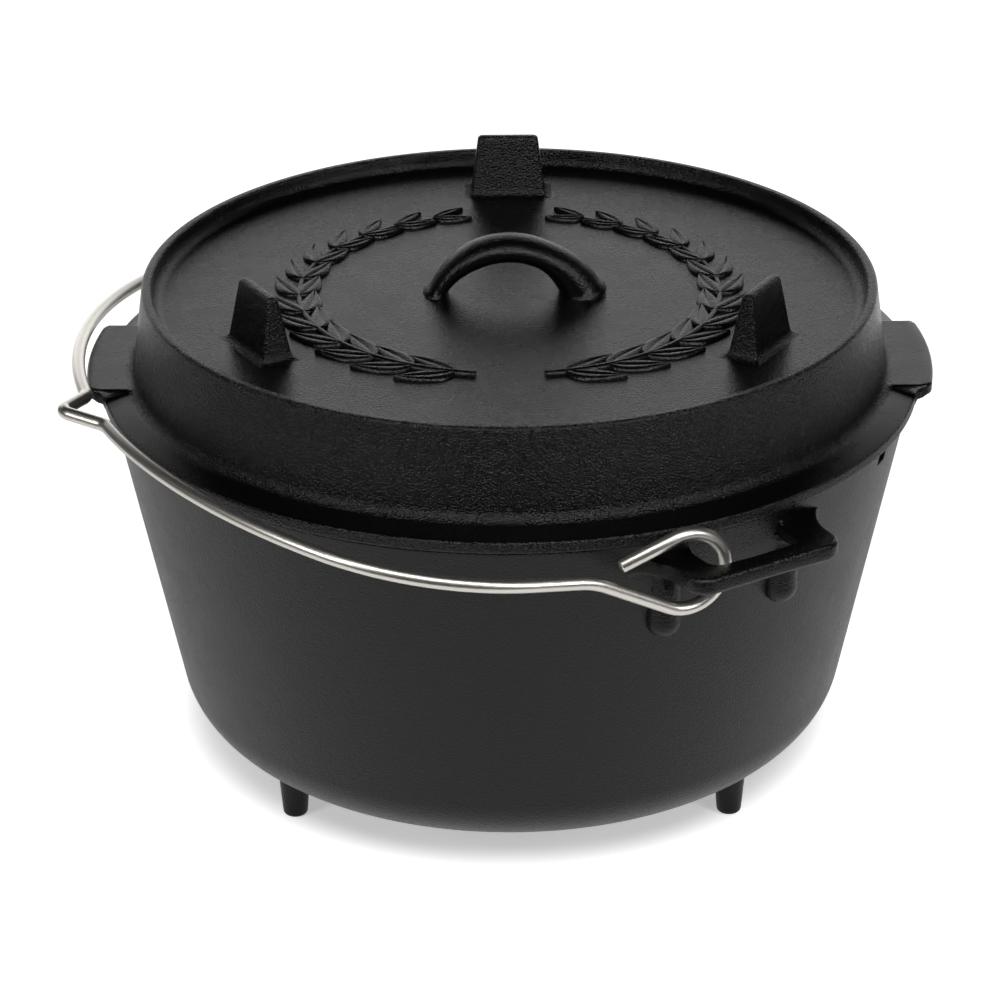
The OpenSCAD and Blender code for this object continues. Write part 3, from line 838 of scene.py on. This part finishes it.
wreath_parts = [(stem(side), WREATH_GRAIN) for side in (-1, 1)]
for side in (-1, 1):
    for share in np.linspace(0, 1, LEAF_PAIRS):
        angle = -90 + side * (SPRAY_ENDS[0] + share * (SPRAY_ENDS[1] - SPRAY_ENDS[0]))
        size = 1 - TIP_SHRINK * share ** 2
        for lean in (-LEAF_SPLAY, LEAF_SPLAY):
            blade = leaf(LEAF_LENGTH * size, LEAF_HALF_W * size, -LEAF_BEND * lean)
            wreath_parts.append((on_spray(blade, angle, lean, side), WREATH_GRAIN))
add_piece("lid_leaf_wreath", wreath_parts, "lid", None, iron)

# %% [markdown]
# ## The bail
# One wire, bent in its own plane: a kink in the middle to hang it by, a long arc, a shoulder, and a
# hook at each end that is bent square to the plane. Hand bending left the arc a little off the middle.
# The path is drawn as arcs in two halves, laid back to its rest and turned onto the hinge line.

# %% Bend the wire
hinge = next(joint for joint in frame["joints"] if joint["name"] == "bail_swing")
HINGE_Z = hinge["pos_m"][2] / MM
HINGE_TURN = np.degrees(np.arctan2(hinge["axis"][1], hinge["axis"][0]))
BAIL_TILT = 8.35376
WIRE_R = 2.5
BAIL_R = 193.7
BAIL_BACK = 26.5
BAIL_SKEW = 8.0
EYE_R = 14.5
EYE_S = 160.203
HOOK_END = 22.0
HOOK_END_A = 63.0
FRONT_SAG = 2.5
DROP_A = 20.0
DROP_R = 30.0
SHOULDER_R = 85.0
KINK_H = 11.4
KINK_TURN = -2.3
KINK_W = 17.0
KINK_TIP_R = 4.5
KINK_SIDE_R = 7.0
KINK_TIP_POINTS = 10
KINK_SIDE_POINTS = 12
LONG_ARC_POINTS = 70
SHOULDER_POINTS = 30
DROP_POINTS = 10
EYE_POINTS = 48
WIRE_SIDES = 24
WIRE_END_SHARE = 0.8
WIRE_END_SOFT = 0.5
SAME_SPOT = 1e-3


def arc(middle, bend, first, last, count):
    """Points of an arc about a middle, from one angle in degrees to another."""
    a = np.radians(np.linspace(first, last, count))[:, None]
    return middle + bend * np.concatenate([np.cos(a), np.sin(a)], 1)


def towards(degrees):
    """Direction at an angle in the bail's plane."""
    return np.array([np.cos(np.radians(degrees)), np.sin(np.radians(degrees))])


def half_bail(side):
    """Half the bail in its plane: the kink's tip and side bend, the long arc and the shoulder, all tangent.

    x runs to the hook of this half, which is the back one for side 1 and the front one for side -1.
    """
    centre = np.array([-side * BAIL_SKEW, -BAIL_BACK])
    tip_a = 90 + side * KINK_TURN
    tip = centre + (BAIL_R + KINK_H - KINK_TIP_R) * towards(tip_a)
    side_a = tip_a - np.degrees(np.arcsin(KINK_W / (BAIL_R + KINK_SIDE_R)))
    bend = centre + (BAIL_R + KINK_SIDE_R) * towards(side_a)
    between = bend - tip
    lean = np.degrees(np.arctan2(between[1], between[0])
                      + np.arccos((KINK_TIP_R + KINK_SIDE_R) / np.linalg.norm(between)))
    turn = np.degrees(np.arccos((EYE_S - SHOULDER_R + side * BAIL_SKEW) / (BAIL_R - SHOULDER_R)))
    shoulder = centre + (BAIL_R - SHOULDER_R) * towards(turn)
    return np.vstack([arc(tip, KINK_TIP_R, tip_a, lean, KINK_TIP_POINTS),
                      arc(bend, KINK_SIDE_R, 180 + lean, 180 + side_a, KINK_SIDE_POINTS),
                      arc(centre, BAIL_R, side_a, turn, LONG_ARC_POINTS)[1:],
                      arc(shoulder, SHOULDER_R, turn, 0, SHOULDER_POINTS)[1:]])


def hook(sag):
    """One hook in its upright plane: an arc and a straight drop, the round eye and a straight end.

    The drop starts a sag below the eye's middle and touches the eye where its slope is the drop's angle.
    """
    drop = np.radians(DROP_A)
    low = EYE_R * np.array([np.sin(drop), -np.cos(drop)])
    run = (EYE_R * np.cos(drop) - sag - DROP_R * (1 - np.cos(drop))) / np.tan(drop)
    bend = np.array([low[0] + run + DROP_R * np.sin(drop), -DROP_R - sag])
    leave = np.radians(HOOK_END_A)
    eye = arc(np.zeros(2), EYE_R, 270 + DROP_A, HOOK_END_A, EYE_POINTS)
    end = np.array([np.sin(leave), -np.cos(leave)])
    return np.vstack([arc(bend, DROP_R, 90, 90 + DROP_A, DROP_POINTS), eye, eye[-1] + HOOK_END * end])


def wire_half(side, sag):
    """One half of the wire: x to the hook, y to the kink, z up; the sag grows with the square of x."""
    plane = half_bail(side)
    bent = hook(sag)
    half = np.vstack([np.column_stack([plane, -sag * (plane[:, 0] / EYE_S) ** 2]),
                      np.column_stack([np.full(len(bent), EYE_S), bent])])
    return half[np.append(True, np.linalg.norm(np.diff(half, axis=0), axis=1) > SAME_SPOT)]


def wire_path():
    """The whole wire, x along the hinge to the back: the back half is turned over, as its hook is."""
    front = wire_half(-1, FRONT_SAG) * [-1, 1, 1]
    back = wire_half(1, 0.0) * [1, 1, -1]
    return np.vstack([front[:0:-1], back])


def wire_rings(path, sides):
    """Round sections square to the path, with ends softened as a cropped wire's are."""
    ahead = np.gradient(path, axis=0)
    ahead /= np.linalg.norm(ahead, axis=1)[:, None]
    in_hook = (np.abs(np.abs(path[:, 0]) - EYE_S) < SAME_SPOT)[:, None]
    across = np.where(in_hook, np.sign(-path[:, :1]) * [1.0, 0, 0], np.cross(ahead, [0, 0, 1.0]))
    across -= ahead * np.sum(across * ahead, axis=1)[:, None]
    across /= np.linalg.norm(across, axis=1)[:, None]
    beside = np.cross(across, ahead)
    a = np.linspace(0, 2 * np.pi, sides, endpoint=False)[:, None]
    ring = WIRE_R * (np.cos(a) * beside[:, None] + np.sin(a) * across[:, None])
    rings = path[:, None] + ring
    first = path[0] + ring[:1] * WIRE_END_SHARE
    last = path[-1] + ring[-1:] * WIRE_END_SHARE
    rings[0] += ahead[0] * WIRE_END_SOFT
    rings[-1] -= ahead[-1] * WIRE_END_SOFT
    return np.concatenate([first, rings, last])


tilt = np.radians(BAIL_TILT)
laid_back = np.array([[1, 0, 0], [0, np.cos(tilt), -np.sin(tilt)], [0, np.sin(tilt), np.cos(tilt)]])
bail_rings = turned_about(wire_rings(wire_path(), WIRE_SIDES) @ laid_back.T, HINGE_TURN) + [0, 0, HINGE_Z]
add_piece("bail_wire", [(bail_rings, 0.0)], "bail", "bail", steel)

# %% [markdown]
# ## Floor and light
# The oven stands on a sheet of pale paper. For the camera the paper glows white, but in a round patch
# under the oven the glow is turned down: a painted shadow, laid over the soft shadow that the lamps
# cast there. A weaker glow is there for mirrored rays, so that the iron shows a pale floor.

# %% Lay the floor
FLOOR_REACH = 470.0
FLOOR_SIDE_STEP = 3.0
PAPER_ROUGHNESS = 0.9
# Painted shadow: within 120 mm of this middle the camera's glow is at the lower level, and it rises to the
# upper one by 142 mm.
SHADOW_MIDDLE = (-2.0, 46.0, 0.0)
SHADOW_RING = (120.0, 142.0)
SHADOW_GLOW = (0.41, 0.93)
MIRRORED_GLOW = 0.23

floor_finish = new_finish("white paper sweep with painted shadow")
rays = add_node(floor_finish, "ShaderNodeLightPath")
floor_place = add_node(floor_finish, "ShaderNodeTexCoord").outputs["Object"]
shadow_middle = tuple(np.array(SHADOW_MIDDLE) * MM)
from_shadow = add_node(floor_finish, "ShaderNodeVectorMath", {0: floor_place, 1: shadow_middle},
                       operation="DISTANCE")
# The camera's glow, turned down near the shadow's middle, which paints the round shadow on the paper.
white = add_node(floor_finish, "ShaderNodeMapRange", {
    "Value": from_shadow.outputs["Value"], "From Min": SHADOW_RING[0] * MM,
    "From Max": SHADOW_RING[1] * MM, "To Min": SHADOW_GLOW[0], "To Max": SHADOW_GLOW[1]},
    interpolation_type="SMOOTHSTEP")
mirrored = add_node(floor_finish, "ShaderNodeMath", {0: rays.outputs["Is Glossy Ray"], 1: MIRRORED_GLOW},
                    operation="MULTIPLY")
glow = add_node(floor_finish, "ShaderNodeMath", {
    0: rays.outputs["Is Camera Ray"], 1: white.outputs["Result"], 2: mirrored.outputs["Value"]},
    operation="MULTIPLY_ADD")
paper = add_node(floor_finish, "ShaderNodeBsdfPrincipled", {
    "Base Color": linear("#f4f4f3"), "Roughness": PAPER_ROUGHNESS, "Specular IOR Level": 0.0,
    "Emission Color": linear("#ffffff"), "Emission Strength": glow.outputs["Value"]})
add_node(floor_finish, "ShaderNodeOutputMaterial", {"Surface": paper.outputs["BSDF"]})
round_floor = np.radians(np.arange(0, 360, FLOOR_SIDE_STEP))
floor_edge = np.column_stack([np.cos(round_floor), np.sin(round_floor), 0 * round_floor])
floor_edge = floor_edge * FLOOR_REACH * MM
floor_mesh = bpy.data.meshes.new("floor")
floor_mesh.from_pydata(floor_edge.tolist(), [], [list(range(len(floor_edge)))])
floor_mesh.materials.append(floor_finish)
floor = bpy.data.objects.new("floor", floor_mesh)
bpy.context.collection.objects.link(floor)
print("floor reaches", FLOOR_REACH, "mm")

# %% [markdown]
# The room behind the oven is white, and it fades to dark behind the camera and overhead. Both sides are
# dark too, from a little below the horizon upwards, so that the iron has something dark to mirror. Each
# of these is a ramp over the direction that is looked in, and the ramps are multiplied. The camera
# itself sees plain white.

# %% Surround the oven
BACK_LEAN = 0.1
BACK_RANGE = (-0.85, 0.25)
BACK_GLOW = 1.25
CEILING_RANGE = (0.36, 0.56)
SIDE_RANGE = (0.38, 0.75)
SIDE_DARK = 0.95
SIDE_LEVEL = (-0.5, -0.15)

world = bpy.data.worlds.new("white studio")
bpy.context.scene.world = world
world.use_nodes = True
world.node_tree.nodes.clear()
direction = add_node(world, "ShaderNodeTexCoord").outputs["Generated"]
facing = add_node(world, "ShaderNodeSeparateXYZ", {"Vector": direction})
behind = add_node(world, "ShaderNodeMath", {
    0: facing.outputs["X"], 1: BACK_LEAN, 2: facing.outputs["Y"]}, operation="MULTIPLY_ADD")
walls = add_node(world, "ShaderNodeMapRange", {
    "Value": behind.outputs["Value"], "From Min": BACK_RANGE[0], "From Max": BACK_RANGE[1],
    "To Min": 0.0, "To Max": BACK_GLOW}, interpolation_type="SMOOTHSTEP")
ceiling = add_node(world, "ShaderNodeMapRange", {
    "Value": facing.outputs["Z"], "From Min": CEILING_RANGE[0], "From Max": CEILING_RANGE[1],
    "To Min": 1.0, "To Max": 0.0}, interpolation_type="SMOOTHSTEP")
aside = add_node(world, "ShaderNodeMath", {0: facing.outputs["X"]}, operation="ABSOLUTE")
unlit = add_node(world, "ShaderNodeMapRange", {
    "Value": aside.outputs["Value"], "From Min": SIDE_RANGE[0], "From Max": SIDE_RANGE[1],
    "To Min": 0.0, "To Max": SIDE_DARK}, interpolation_type="SMOOTHSTEP")
above = add_node(world, "ShaderNodeMapRange", {
    "Value": facing.outputs["Z"], "From Min": SIDE_LEVEL[0], "From Max": SIDE_LEVEL[1]})
sides = add_node(world, "ShaderNodeMath", {
    0: unlit.outputs["Result"], 1: above.outputs["Result"]}, operation="MULTIPLY")
lit = add_node(world, "ShaderNodeMath", {0: 1.0, 1: sides.outputs["Value"]}, operation="SUBTRACT")
upper = add_node(world, "ShaderNodeMath", {
    0: walls.outputs["Result"], 1: ceiling.outputs["Result"]}, operation="MULTIPLY")
room = add_node(world, "ShaderNodeMath", {
    0: upper.outputs["Value"], 1: lit.outputs["Value"]}, operation="MULTIPLY")
camera_sees = add_node(world, "ShaderNodeLightPath").outputs["Is Camera Ray"]
brightness = add_node(world, "ShaderNodeMath", {
    0: room.outputs["Value"], 1: camera_sees}, operation="MAXIMUM")
backdrop = add_node(world, "ShaderNodeBackground", {
    "Color": linear("#ffffff"), "Strength": brightness.outputs["Value"]})
add_node(world, "ShaderNodeOutputWorld", {"Surface": backdrop.outputs["Background"]})
print("world:", world.name)

# %% [markdown]
# A long soft box hangs high in front, and a small one stands at each side of the camera, about as high
# as the lens. Small boxes leave sparks on the grain of the sand, where a wide one would leave an even
# sheen.

# %% Hang the soft boxes
# Each box has a place, a width, a height and a power, and is aimed at the middle of the oven.
LIT_MIDDLE = (0.0, 0.0, 0.15)
SOFT_BOXES = {"high_box": ((0.08, -1.0, 1.3), 1.8, 0.4, 13.0),
              "left_box": ((-0.95, -0.9, 0.66), 0.38, 0.38, 4.0),
              "right_box": ((0.95, -0.9, 0.66), 0.38, 0.38, 4.4)}

for name, (place, width, height, power) in SOFT_BOXES.items():
    soft_box = bpy.data.lights.new(name, "AREA")
    soft_box.shape = "RECTANGLE"
    soft_box.size = width
    soft_box.size_y = height
    soft_box.energy = power
    lamp = bpy.data.objects.new(name, soft_box)
    bpy.context.collection.objects.link(lamp)
    aim = Vector(LIT_MIDDLE) - Vector(place)
    lamp.matrix_world = Matrix.Translation(place) @ aim.to_track_quat("-Z", "Y").to_matrix().to_4x4()
    print(name, power, "W")

# %% [markdown]
# ## Colour management and finish
# The view transform is Standard, so a colour renders about as it is written.

# %% Finish
bpy.context.scene.view_settings.view_transform = "Standard"
